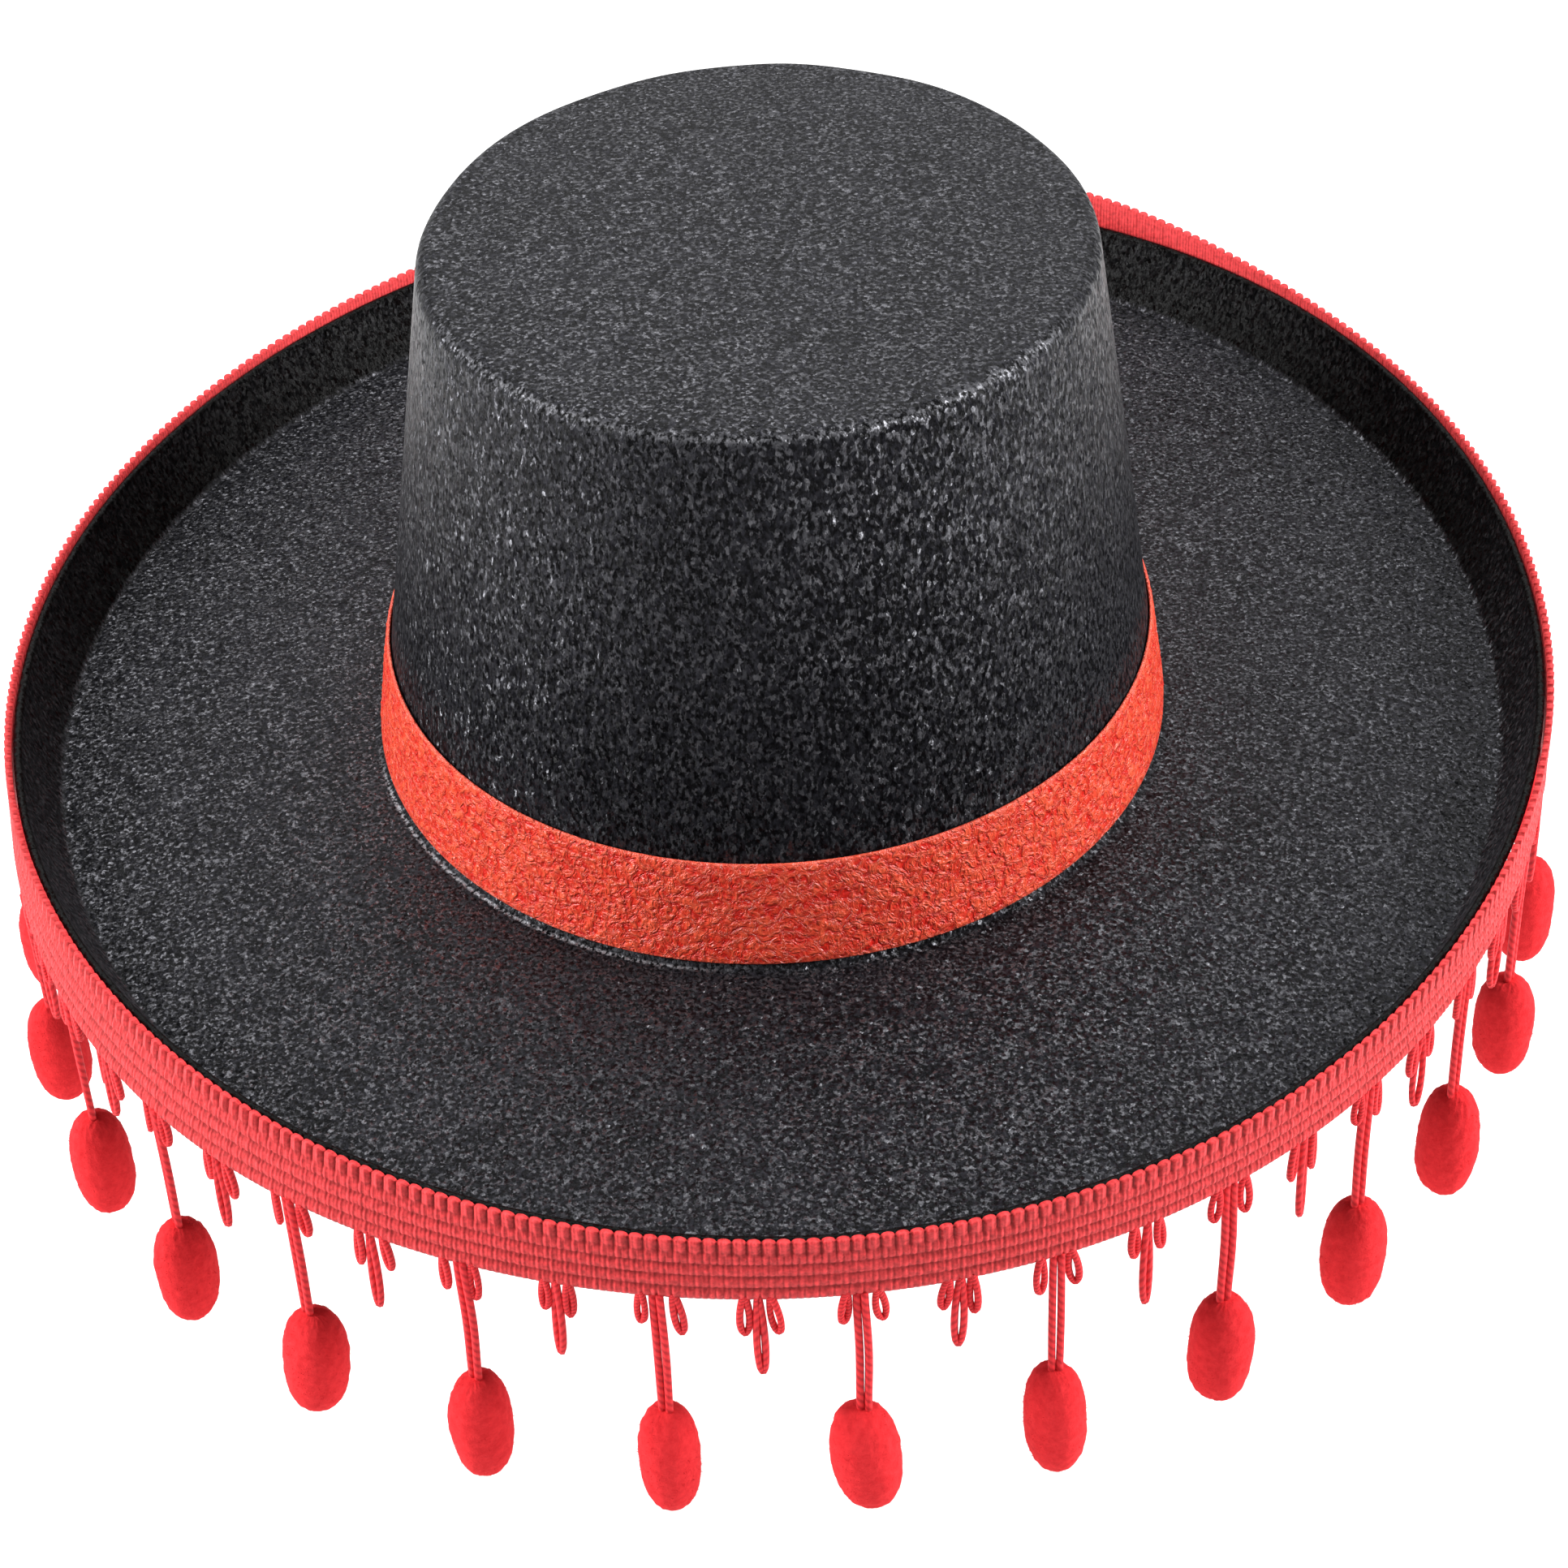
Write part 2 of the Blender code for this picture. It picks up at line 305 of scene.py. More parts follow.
def maths(tree, operation, first, second=None, clamp=False):
    """A Math node's value; each of its inputs is a socket or a number."""
    node = add(tree, "ShaderNodeMath", operation=operation, use_clamp=clamp)
    feed(tree, node.inputs[0], first)
    if second is not None:
        feed(tree, node.inputs[1], second)
    return node.outputs[0]


def mix_colour(tree, share, first, second):
    """A colour mix; share is a socket, and each colour is a socket or three numbers."""
    node = add(tree, "ShaderNodeMix", data_type="RGBA")
    feed(tree, node.inputs[0], share)
    feed(tree, node.inputs[6], first)
    feed(tree, node.inputs[7], second)
    return node.outputs[2]


def band(tree, value, low, high):
    """A value stretched so that low becomes 0 and high becomes 1, cut off beyond."""
    node = add(tree, "ShaderNodeMapRange")
    for socket, given in zip(node.inputs, (value, low, high)):
        feed(tree, socket, given)
    return node.outputs[0]


def wave(tree, phase):
    """A sine wave of that phase, from 0 to 1."""
    return maths(tree, "ADD", maths(tree, "MULTIPLY", maths(tree, "SINE", phase), 0.5), 0.5)


def object_place(tree):
    return add(tree, "ShaderNodeTexCoord").outputs["Object"]


def noise(tree, place, scale, **settings):
    return add(tree, "ShaderNodeTexNoise", Vector=place, Scale=scale, **settings).outputs["Fac"]


def own_map(tree):
    """The piece's own texture places: round its columns, and along its rows."""
    uv = add(tree, "ShaderNodeUVMap", uv_map="UVMap")
    split = add(tree, "ShaderNodeSeparateXYZ", Vector=uv.outputs[0])
    return split.outputs[0], split.outputs[1]


def group(name, inputs, outputs):
    """An empty shader node group with its sockets, and its two end nodes."""
    tree = bpy.data.node_groups.new(name, "ShaderNodeTree")
    for label, kind, value in inputs:
        socket = tree.interface.new_socket(label, in_out="INPUT", socket_type=kind)
        socket.default_value = value
    for label, kind in outputs:
        tree.interface.new_socket(label, in_out="OUTPUT", socket_type=kind)
    return tree, tree.nodes.new("NodeGroupInput"), tree.nodes.new("NodeGroupOutput")


def make_pressed_felt_group():
    """Pressed glossy fibres: a fine two-tone nap with cloudy patches, and pale glints in it.

    The glints stand where the nap is high, in some cells of a Voronoi texture.  Every cell also has
    its own random lean, as a vector around zero, for the surface normal.  The pattern is drawn out
    upwards, as the felt is where it is pulled up over a hat block.
    """
    tree, start, end = group(
        "pressed felt",
        [("Dark", "NodeSocketColor", (0.01, 0.01, 0.011, 1)),
         ("Light", "NodeSocketColor", (0.1, 0.1, 0.105, 1)),
         ("Glint", "NodeSocketColor", (0.5, 0.5, 0.5, 1)),
         ("Grain", "NodeSocketFloat", 1000.0)],
        [("Color", "NodeSocketColor"), ("Glints", "NodeSocketFloat"),
         ("Height", "NodeSocketFloat"), ("Lean", "NodeSocketVector")])
    place = add(tree, "ShaderNodeMapping", Vector=object_place(tree),
                Scale=(1.0, 1.0, FELT_PULL)).outputs["Vector"]
    nap = noise(tree, place, start.outputs["Grain"], Detail=2.0, Roughness=0.6)
    patch = noise(tree, place, 38.0, Detail=2.0)
    cloud = maths(tree, "MULTIPLY", maths(tree, "SUBTRACT", patch, 0.5), 0.5)
    share = maths(tree, "ADD", band(tree, nap, 0.41, 0.64), cloud, clamp=True)
    nap_colour = mix_colour(tree, share, start.outputs["Dark"], start.outputs["Light"])
    grain = maths(tree, "MULTIPLY", start.outputs["Grain"], 1.15)
    cells = add(tree, "ShaderNodeTexVoronoi", Vector=place, Scale=grain).outputs["Color"]
    pick = add(tree, "ShaderNodeSeparateColor", Color=cells).outputs[0]
    glint = maths(tree, "MULTIPLY", band(tree, pick, 0.35, 0.95), band(tree, nap, 0.44, 0.60))
    lean = add(tree, "ShaderNodeVectorMath", operation="SUBTRACT")
    feed(tree, lean.inputs[0], cells)
    feed(tree, lean.inputs[1], (0.5, 0.5, 0.5))
    feed(tree, end.inputs["Color"], mix_colour(tree, glint, nap_colour, start.outputs["Glint"]))
    feed(tree, end.inputs["Glints"], glint)
    feed(tree, end.inputs["Height"], nap)
    feed(tree, end.inputs["Lean"], lean.outputs[0])
    return tree


def make_yarn_group():
    """Twisted yarn: slanting plies that run round a cord, from its own texture coordinates."""
    tree, start, end = group(
        "twisted yarn",
        [("Color", "NodeSocketColor", (0.7, 0.02, 0.03, 1)),
         ("Shade", "NodeSocketColor", (0.3, 0.01, 0.015, 1)),
         ("Turns", "NodeSocketFloat", 20.0), ("Plies", "NodeSocketFloat", 2.0)],
        [("Color", "NodeSocketColor"), ("Height", "NodeSocketFloat")])
    about, along = own_map(tree)
    along = maths(tree, "MULTIPLY", along, start.outputs["Turns"])
    about = maths(tree, "MULTIPLY", about, start.outputs["Plies"])
    ply = wave(tree, maths(tree, "MULTIPLY", maths(tree, "ADD", along, about), 2 * pi))
    fuzz = noise(tree, object_place(tree), 2600.0, Detail=2.0)
    share = maths(tree, "ADD", ply, maths(tree, "MULTIPLY", fuzz, 0.5), clamp=True)
    colour = mix_colour(tree, share, start.outputs["Shade"], start.outputs["Color"])
    feed(tree, end.inputs["Color"], colour)
    feed(tree, end.inputs["Height"], maths(tree, "ADD", ply, fuzz))
    return tree


def use_group(tree, made, **values):
    """A group in a material, with the material's own values."""
    node = tree.nodes.new("ShaderNodeGroup")
    node.node_tree = made
    for key, value in values.items():
        feed(tree, node.inputs[key], value)
    return node


def add_bump(tree, shader, height, strength, distance):
    bump = add(tree, "ShaderNodeBump", Height=height, Strength=strength, Distance=distance)
    feed(tree, shader.inputs["Normal"], bump.outputs[0])
    return bump


def set_gloss(shader, roughness, specular):
    """The gloss that is the same all over a piece."""
    shader.inputs["Roughness"].default_value = roughness
    shader.inputs["Specular IOR Level"].default_value = specular


def felt_material(made_group):
    """Black felt with a slight gloss: each grain leans its own way, so the light sparkles on it."""
    finish, tree, shader = new_material("black speckled felt")
    felt = use_group(tree, made_group, Dark=(0.0018, 0.0018, 0.0024), Light=(0.020, 0.020, 0.025),
                     Glint=(0.125, 0.125, 0.136), Grain=1020.0)
    nap = felt.outputs["Height"]
    # Painted highlight: where the attribute is above 0, pale grey is mixed into the felt's colour
    # along its nap.
    painted_light_and_shade = add(tree, "ShaderNodeAttribute", attribute_name="painted_light_and_shade").outputs["Fac"]
    painted_highlight = maths(tree, "MULTIPLY", painted_light_and_shade, band(tree, nap, 0.42, 0.58), clamp=True)
    colour = mix_colour(tree, painted_highlight, felt.outputs["Color"], (0.27, 0.27, 0.29))
    # Painted shade: where the attribute is below 0, the colour goes towards black and the gloss
    # goes away.
    painted_shade = maths(tree, "MULTIPLY", painted_light_and_shade, -1.0, clamp=True)
    feed(tree, shader.inputs["Base Color"], mix_colour(tree, painted_shade, colour, (0.0, 0.0, 0.0)))
    gloss = maths(tree, "MULTIPLY", band(tree, nap, 0.40, 0.64), 0.30)
    gloss = maths(tree, "ADD", gloss, felt.outputs["Glints"], clamp=True)
    gloss = maths(tree, "MULTIPLY", gloss, maths(tree, "SUBTRACT", 1.0, painted_shade))
    feed(tree, shader.inputs["Metallic"], gloss)
    set_gloss(shader, 0.38, 0.09)
    bump = add_bump(tree, shader, nap, 0.6, 0.0006)
    lean = add(tree, "ShaderNodeVectorMath", operation="SCALE", Scale=0.65)
    feed(tree, lean.inputs[0], felt.outputs["Lean"])
    turned = add(tree, "ShaderNodeVectorMath", operation="ADD")
    feed(tree, turned.inputs[0], add(tree, "ShaderNodeNewGeometry").outputs["Normal"])
    feed(tree, turned.inputs[1], lean.outputs[0])
    unit = add(tree, "ShaderNodeVectorMath", operation="NORMALIZE")
    feed(tree, unit.inputs[0], turned.outputs[0])
    feed(tree, bump.inputs["Normal"], unit.outputs[0])
    return finish


def ribbon_material():
    """Satin with fine creases: painted light and shade on the wrinkles, and painted highlights at
    the folded edges.
    """
    finish, tree, shader = new_material("red crinkled satin")
    crease = noise(tree, object_place(tree), 430.0, Detail=3.0, Roughness=0.6, Distortion=1.2)
    # Painted light and shade: the colour follows the crease noise that also bumps the satin, paler
    # where it is high.
    painted_crinkle_light = band(tree, crease, 0.38, 0.64)
    red = mix_colour(tree, painted_crinkle_light, (0.76, 0.016, 0.008), (0.98, 0.118, 0.050))
    _, down = own_map(tree)
    from_middle = maths(tree, "ABSOLUTE", maths(tree, "SUBTRACT", down, BAND_FACE_MIDDLE))
    # Painted highlight: a paler line along the face's upper and lower edges.
    edge = band(tree, from_middle, BAND_FACE_MIDDLE * 0.955, BAND_FACE_MIDDLE * 0.985)
    red = mix_colour(tree, maths(tree, "MULTIPLY", edge, 0.5), red, (0.97, 0.14, 0.08))
    feed(tree, shader.inputs["Base Color"], red)
    set_gloss(shader, 0.30, 0.65)
    add_bump(tree, shader, crease, 1.0, 0.0018)
    return finish


def braid_material():
    """Gimp: crosswise threads bound over cords, with painted shade in the grooves and between the
    threads.
    """
    finish, tree, shader = new_material("red gimp braid")
    depth = add(tree, "ShaderNodeAttribute", attribute_name="relief").outputs["Fac"]
    about, _ = own_map(tree)
    thread = wave(tree, maths(tree, "MULTIPLY", about, 2 * pi * PICOT_COUNT * 3))
    fuzz = noise(tree, object_place(tree), 900.0, Detail=2.0)
    loose = maths(tree, "MULTIPLY", maths(tree, "SUBTRACT", fuzz, 0.58), 1.5)
    # Painted shade: the colour darkens where the relief is low and where the threads sink in.
    share = maths(tree, "ADD", depth, loose)
    share = maths(tree, "SUBTRACT", share, maths(tree, "MULTIPLY", thread, 0.22), clamp=True)
    red = mix_colour(tree, share, (0.30, 0.010, 0.010), (0.86, 0.058, 0.064))
    feed(tree, shader.inputs["Base Color"], red)
    set_gloss(shader, 0.6, 0.25)
    height = maths(tree, "SUBTRACT", fuzz, maths(tree, "MULTIPLY", thread, 0.6))
    add_bump(tree, shader, height, 0.5, 0.0005)
    return finish


def cord_material(name, made_group, turns):
    """Red cord of two plies, with that many turns of twist along it."""
    finish, tree, shader = new_material(name)
    yarn = use_group(tree, made_group, Color=(0.80, 0.034, 0.042), Shade=(0.42, 0.010, 0.014),
                     Turns=turns, Plies=2.0)
    feed(tree, shader.inputs["Base Color"], yarn.outputs["Color"])
    set_gloss(shader, 0.7, 0.2)
    add_bump(tree, shader, yarn.outputs["Height"], 0.4, 0.0002)
    return finish


def pompom_material():
    """Dense soft yarn: an even bright red, slightly clouded, with a very fine nap."""
    finish, tree, shader = new_material("red pompom yarn")
    place = object_place(tree)
    cloud = band(tree, noise(tree, place, 560.0, Detail=3.0), 0.30, 0.70)
    fine = noise(tree, place, 2000.0, Detail=2.0)
    share = maths(tree, "ADD", cloud, maths(tree, "SUBTRACT", fine, 0.5), clamp=True)
    red = mix_colour(tree, share, (0.64, 0.022, 0.027), (0.76, 0.034, 0.040))
    feed(tree, shader.inputs["Base Color"], red)
    set_gloss(shader, 0.95, 0.08)
    add_bump(tree, shader, fine, 0.35, 0.0004)
    return finish


def tape_material():
    """Cotton tape with ribs along its height."""
    finish, tree, shader = new_material("black ribbed tape")
    about, _ = own_map(tree)
    rib = wave(tree, maths(tree, "MULTIPLY", about, 2 * pi * TAPE_RIBS))
    black = mix_colour(tree, rib, (0.010, 0.010, 0.011), (0.040, 0.040, 0.044))
    feed(tree, shader.inputs["Base Color"], black)
    shader.inputs["Roughness"].default_value = 0.7
    shader.inputs["Sheen Weight"].default_value = 0.2
    add_bump(tree, shader, rib, 0.5, 0.0004)
    return finish


def thread_material():
    finish, _, shader = new_material("black sewing thread")
    shader.inputs["Base Color"].default_value = (0.02, 0.02, 0.022, 1.0)
    shader.inputs["Roughness"].default_value = 0.6
    return finish


# ---- felt ----
TOP_ROWS = 22                  # rows of the felt's grid, from the middle of the crown outwards
ROUND_ROWS = 8
SIDE_ROWS = 29
FILLET_ROWS = 6
BRIM_SHARES = np.concatenate(((0.006, 0.012, 0.02), np.linspace(0, 0.97, 30)[1:], (0.99, 1.0)))
RIM_ROWS = 15
ROLL_ROWS = 5
EDGE_ROW = TOP_ROWS + 3        # on the crown's edge
BEND_ROW = TOP_ROWS + ROUND_ROWS + SIDE_ROWS + FILLET_ROWS - 1    # at the foot of the bend
CREASE_ROW = BEND_ROW + 1 + len(BRIM_SHARES)                      # the first row past the crease
RIM_ROW = CREASE_ROW + RIM_ROWS - 1                               # the last before the cut edge


def felt_top_rows(angle):
    """The hat's upper side, row by row from the middle of the crown to the rim's edge.

    Crown top: an oval disc that falls slightly to its edge.  Then a quarter round, the straight
    tapering side, a small hollow bend, the brim that droops as distance to the power 1.5, and the
    rim, which leaves the crease at about 60 degrees and ends a little steeper.
    """
    rows = []
    inner = CROWN_TOP - CROWN_EDGE_RADIUS
    for share in np.linspace(0.04, 1.0, TOP_ROWS):
        fall = max(0.0, (share - CROWN_FLAT_SHARE) / (1 - CROWN_FLAT_SHARE))
        height = CROWN_HEIGHT + CROWN_DOME * (1 - fall ** 2)
        rows.append(np.stack((CROWN_LEAN + inner[0] * share * np.cos(angle),
                              inner[1] * share * np.sin(angle), np.full_like(angle, height)), -1))
    for turn in np.linspace(0, pi / 2, ROUND_ROWS + 1)[1:]:
        inset = -CROWN_EDGE_RADIUS * (1 - sin(turn))
        rows.append(crown_points(angle, CROWN_HEIGHT - CROWN_EDGE_RADIUS * (1 - cos(turn)), inset))
    below_round = CROWN_HEIGHT - CROWN_EDGE_RADIUS
    for height in np.linspace(below_round, BRIM_FILLET, SIDE_ROWS + 1)[1:]:
        rows.append(crown_points(angle, height))
    for turn in np.linspace(0, pi / 2, FILLET_ROWS + 1)[1:]:
        outside = BRIM_FILLET * (1 - cos(turn))
        rows.append(crown_points(angle, BRIM_FILLET * (1 - sin(turn)), outside))
    foot = rows[-1]
    crease_height = edge_height(angle) - RIM_RISE
    crease = rim_points(angle, -RIM_LEAN, crease_height)
    for share in BRIM_SHARES:
        row = foot + (crease - foot) * share
        row[:, 2] = crease_height * share ** 1.5
        rows.append(row)
    for share in np.linspace(0, 1, RIM_ROWS + 1)[1:]:
        lean = -RIM_LEAN * (1 - share) ** 2 - 0.4 * RIM_LEAN * share * (1 - share)
        rise = 1.2 * RIM_RISE * share * (1 - share) + RIM_RISE * share ** 2
        rows.append(rim_points(angle, lean, crease_height + rise))
    return np.stack(rows)


def outward_normals(rows):
    """Unit normals of a grid that is closed round its columns, pointing to the upper side."""
    along = np.gradient(rows, axis=0)
    around = np.roll(rows, -1, axis=1) - np.roll(rows, 1, axis=1)
    normal = np.cross(along, around)
    normal /= np.linalg.norm(normal, axis=2, keepdims=True)
    return normal * np.sign(normal[0, 0, 2])


def arc_window(angle, low, high, fall=12):
    """1 between two angles in degrees, and an even fall to 0 over fall degrees beyond them."""
    middle, half = (low + high) / 2, (high - low) / 2
    return np.clip((half + fall - np.abs(np.degrees(angle) - middle)) / fall, 0, 1)


def felt_painted_light_and_shade(rows, angle):
    """Painted light on the felt: painted highlights (above 0) and painted shade (below 0).

    Painted highlights, pale lines: the crown's front edge, the bend beside the ribbon on the
    wearer's right, and the front of the rim.  Painted shade, dark: the cut edge, and the rim's
    inner wall, most of all behind and in its crease.
    """
    painted_light_and_shade = np.zeros(rows.shape[:2])
    # Painted highlights: pale lines on the crown's front edge and on the bend beside the ribbon.
    painted_light_and_shade[EDGE_ROW - 1:EDGE_ROW + 2] = np.outer((0.4, 1.0, 0.4), arc_window(angle, 212, 325)) * 0.4
    painted_light_and_shade[BEND_ROW - 1] = arc_window(angle, 200, 250) * 1.6
    # Painted shade: the rim's inner wall, darkest in its crease and behind.
    wall = np.linspace(-1.0, -0.80, RIM_ROW - CREASE_ROW)
    painted_light_and_shade[CREASE_ROW:RIM_ROW] = np.outer(wall, np.clip(0.75 + 1.5 * np.sin(angle), 0.1, 1.0))
    # Painted highlight: a pale line along the front of the rim, near its top.
    painted_light_and_shade[RIM_ROW - 4:RIM_ROW - 1] += np.outer((0.5, 1.0, 0.5), arc_window(angle, 245, 300))
    # Painted shade: the cut edge, all round.
    painted_light_and_shade[RIM_ROW:RIM_ROW + ROLL_ROWS + 1] = -1.0
    return painted_light_and_shade


def make_felt(finish):
    """The upper side, a half-round edge, and the under side one thickness below it.

    The under side has every second row of the upper side, and both waver a little together.
    """
    angle = round_angles(FELT_COLUMNS)
    top = felt_top_rows(angle)
    normal = outward_normals(top)
    under = top - normal * FELT
    wobble = smooth_noise(len(top), len(angle), 4, 16, 11) * FELT_WOBBLE
    wobble *= np.clip(np.arange(len(top)) / 20, 0, 1)[:, None]
    top, under = (rows + normal * wobble[..., None] for rows in (top, under))
    tangent = top[-1] - top[-2]
    tangent /= np.linalg.norm(tangent, axis=1, keepdims=True)
    middle = (top[-1] + under[-1]) / 2
    roll = [middle + (top[-1] - middle) * cos(turn) + tangent * (FELT / 2 * sin(turn))
            for turn in np.linspace(0, pi, ROLL_ROWS + 2)[1:-1]]
    kept = np.unique(np.concatenate((np.arange(0, len(under), 2), [len(under) - 1])))[::-1]
    rows = np.concatenate((top, np.stack(roll), under[kept]))
    crest = CROWN_HEIGHT + CROWN_DOME
    mesh = mesh_of("hat_felt", rows[None], start=[(CROWN_LEAN, 0, crest)],
                   end=[(CROWN_LEAN, 0, crest - FELT)])
    # Painted highlights and painted shade, kept per vertex for the felt's material.
    painted_light_and_shade = mesh.attributes.new("painted_light_and_shade", "FLOAT", "POINT")
    painted_light_and_shade.data.foreach_set("value", np.append(felt_painted_light_and_shade(rows, angle).ravel(), (0.0, 0.0)))
    piece("hat_felt", mesh, finish, "hat", "felt", "felt_body")


# ---- ribbon and sweatband ----
BAND_FACE_ROWS = 40
BAND_EDGE_ROWS = 3
BAND_BACK_ROWS = 4
BAND_ALL_ROWS = BAND_FACE_ROWS + 2 * BAND_EDGE_ROWS + BAND_BACK_ROWS
BAND_FACE_MIDDLE = (BAND_FACE_ROWS - 1) / 2 / BAND_ALL_ROWS


def band_rows(angle, foot, height, near, thickness, relief):
    """A closed strip on the crown's side: a face with relief, half-round edges and a flat back."""
    face = np.linspace(0, 1, BAND_FACE_ROWS)
    rows = [crown_points(angle, foot + height * share, near + thickness + relief[k])
            for k, share in enumerate(face)]
    back = np.linspace(1, 0, BAND_BACK_ROWS)
    edge = []
    for level, bulge in ((foot + height, 1), (foot, -1)):
        turns = np.linspace(0, pi, BAND_EDGE_ROWS + 2)[1:-1]
        edge.append([crown_points(angle, level + bulge * thickness / 2 * sin(t),
                                  near + thickness / 2 * (1 + bulge * cos(t))) for t in turns])
    rows += edge[0] + [crown_points(angle, foot + height * share, near) for share in back] + edge[1]
    return np.stack(rows)


def make_ribbon(finish):
    """The ribbon, stretched round the crown, crinkled all over, with a lapped end at the back."""
    angle = round_angles(RIBBON_COLUMNS)
    relief = smooth_noise(BAND_FACE_ROWS, RIBBON_COLUMNS, 180, 420, 5) * RIBBON_CRINKLE
    relief += smooth_noise(BAND_FACE_ROWS, RIBBON_COLUMNS, 20, 90, 6) * RIBBON_CRINKLE
    face = np.linspace(-1, 1, BAND_FACE_ROWS)[:, None]
    relief = (relief + 0.0002) * np.clip((1 - np.abs(face)) * 6, 0, 1)
    lap = np.clip((LAP_HALF - np.abs(angle - LAP_AT)) / radians(0.5), 0, 1)
    relief = relief + lap * LAP_RISE
    near = GAP + 0.0001
    rows = band_rows(angle, RIBBON_FOOT, RIBBON_HEIGHT, near, RIBBON_THICKNESS, relief)
    mesh = mesh_of("ribbon", rows[None], wrap_rows=True)
    made = piece("ribbon", mesh, finish, "hat", "ribbon", "hat_band")


def make_sweatband(finish, thread):
    """A ribbed tape inside the head opening, and the row of stitches that holds its lower edge.

    Each stitch is a short cord along the tape that rises out of it and sinks back in.
    """
    near = -FELT - 2 * GAP - SWEATBAND_THICKNESS
    flat = np.zeros(BAND_FACE_ROWS)
    rows = band_rows(round_angles(TAPE_COLUMNS), BRIM_FILLET, SWEATBAND_HEIGHT, near,
                     SWEATBAND_THICKNESS, flat)
    mesh = mesh_of("sweat_tape", rows[None], wrap_rows=True)
    piece("sweat_tape", mesh, finish, "hat", "sweatband_tape", "sweatband")
    first = round_angles(STITCHES)[:, None]
    t = np.linspace(0, 1, 7)[None]
    place = first + t * STITCH_SHARE * 2 * pi / STITCHES
    deep = near - 0.00025 * np.sin(pi * t) + 0.0001
    path = crown_points(place, BRIM_FILLET + STITCH_HEIGHT, deep)
    out = np.stack(np.broadcast_arrays(np.cos(place), np.sin(place), 0.0), -1)
    up = np.broadcast_to((0.0, 0.0, 1.0), path.shape)
    rings = tube_rings(path, up, out, THREAD_RADIUS, 6)
    seam = mesh_of("sweat_stitches", rings, start=path[:, 0], end=path[:, -1])
    piece("sweat_stitches", seam, thread, "hat", "sweatband_tape")


# ---- braid ----
BRAID_MIDDLE = FELT + GAP + BRAID_THICKNESS / 2
PICOT_COUNT = int(round(even_angles(8, BRAID_MIDDLE)[1] / PICOT_PITCH))


def braid_relief(teeth, level):
    """Height of the braid's face, 0 to 1, at a count of teeth along it and a level down it.

    Above: upright teeth, a raised half wave each.  Below: cords along the braid, a raised half wave
    across each one, bound by threads that pinch it twice in every tooth.
    """
    tooth = np.abs(np.sin(pi * teeth)) ** 0.6
    rows = (level - TEETH_SHARE) / (1 - TEETH_SHARE) * BRAID_ROWS
    number = np.floor(np.clip(rows, 0, BRAID_ROWS - 0.001))
    cord = 0.38 + 0.62 * np.abs(np.sin(pi * (rows - number))) ** 0.55
    pinch = 0.60 + 0.40 * np.abs(np.sin(2 * pi * teeth + number * 0.5)) ** 0.7
    in_teeth = np.clip((TEETH_SHARE - level) / 0.04 + 0.5, 0, 1)
    return in_teeth * tooth + (1 - in_teeth) * cord * pinch


def make_braid(finish):
    """The braid's woven header: a strip that follows the rim, with relief on its outer face.

    The face stands between 0.42 and 1.04 of the braid's thickness out from its flat back.
    """
    samples = 8
    count = PICOT_COUNT * samples
    angle, _ = even_angles(count, BRAID_MIDDLE)
    teeth = np.arange(count) / samples
    levels = np.concatenate((np.linspace(0, TEETH_SHARE, 5)[:-1], np.linspace(TEETH_SHARE, 1, 17)))
    notch = PICOT_DEPTH * (1 - np.abs(np.sin(pi * teeth)) ** 0.5)
    notch = notch * (1 - 0.7 * np.clip(np.sin(angle), 0, 1) ** 0.5)
    top = braid_top(angle)
    low = FELT + GAP
    faces = [(level, braid_relief(teeth, level), BRAID_THICKNESS) for level in levels]
    # The flat back is given 0.9, so the material paints only a little shade on it.
    backs = [(level, np.full_like(angle, 0.9), 0.0) for level in (0.98, 0.02)]
    rows = []
    for level, relief, thickness in faces + backs:
        outside = low + thickness * (0.42 + 0.62 * relief) + braid_flare(angle) * level
        height = top - BRAID_HEIGHT * level - notch * max(0.0, 1 - level / 0.2)
        rows.append(rim_points(angle, outside, height))
    mesh = mesh_of("braid_header", np.stack(rows)[None], wrap_rows=True)
    # The relief is kept for the material, which paints shade from it in the grooves.
    shade = mesh.attributes.new("relief", "FLOAT", "POINT")
    shade.data.foreach_set("value", np.stack([relief for _, relief, _ in faces + backs]).ravel())
    piece("braid_header", mesh, finish, "hat", "gimp_braid", "braid")


def pivots():
    """The pompoms' joints in order: a point each, and its directions along and out of the brim."""
    found = []
    for number in range(1, len(frame["joints"]) + 1):
        joint = next(j for j in frame["record"]["behaviour"]["joints"]
                     if j["name"] == f"pompom_{number:02d}_swing")
        along = -Vector(joint["axis"])
        found.append((Vector(joint["pos_m"]), along, along.cross(Vector((0, 0, 1)))))
    return found


